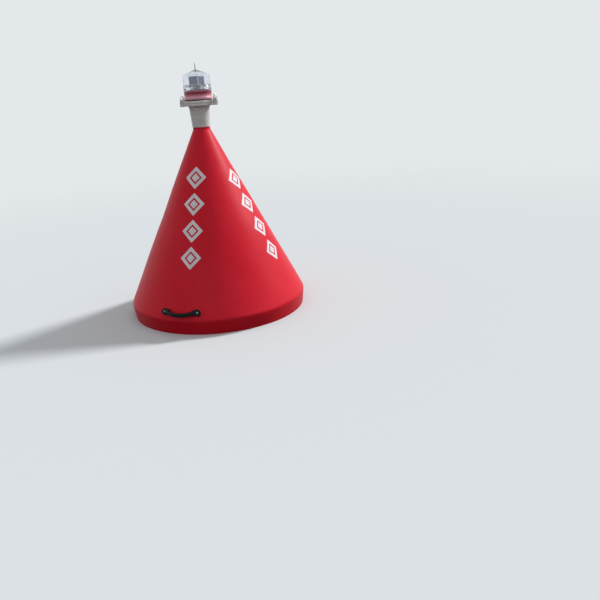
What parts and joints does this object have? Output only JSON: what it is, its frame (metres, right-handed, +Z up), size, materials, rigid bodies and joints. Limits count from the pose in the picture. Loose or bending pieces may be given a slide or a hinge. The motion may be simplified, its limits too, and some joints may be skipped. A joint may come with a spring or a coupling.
{
  "type": "navigation buoy",
  "caption": "Conical plastic buoy with a white lamp neck, solar lantern, rubber side handles and a swinging mooring shackle below.",
  "frame": {"origin": "middle of the flat foot, on the surface it stands on", "axes": "+Z up the buoy's own axis, -Y towards the handle named front, +X to the right of it"},
  "size_m": [0.9935, 1.0558, 1.447],
  "materials": {
    "red_polyethylene": "rotationally moulded, satin",
    "plug_polyethylene": "moulded",
    "ballast_iron": "zinc dipped casting",
    "galvanised_steel": "hot-dip galvanised",
    "handle_rubber": "moulded",
    "white_plastic": "moulded, weathered",
    "gasket_rubber": "moulded",
    "red_lamp_plastic": "moulded",
    "dark_board": "lacquered board",
    "lamp_epoxy": "polished",
    "block_plastic": "moulded",
    "solar_cells": "laminated cells",
    "clear_polycarbonate": "clear",
    "spike_polycarbonate": "frosted"
  },
  "bodies": {
    "buoy": {"float_hull": "red_polyethylene", "fill_plug": "plug_polyethylene", "ballast_disc": "ballast_iron", "mooring_plate": "galvanised_steel", "mooring_eye": "galvanised_steel", "handle_front": "handle_rubber", "handle_back": "handle_rubber", "neck": "white_plastic", "neck_flange": "white_plastic", "lantern_base": "white_plastic", "gasket": "gasket_rubber", "battery_housing": "red_lamp_plastic", "lamp_board": "dark_board", "lamp_domes": "lamp_epoxy", "panel_block": "block_plastic", "solar_panel_1": "solar_cells", "solar_panel_2": "solar_cells", "solar_panel_3": "solar_cells", "solar_panel_4": "solar_cells", "lens_cover": "clear_polycarbonate", "bird_spike": "spike_polycarbonate"},
    "shackle": {"shackle_bow": "galvanised_steel", "shackle_pin": "galvanised_steel"}
  },
  "joints": [
    {"name": "shackle_swing", "type": "hinge", "parent": "buoy", "child": "shackle", "pos_m": [0, 0, 0.075], "axis": [1, 0, 0], "range_deg": [-90, 90]}
  ]
}
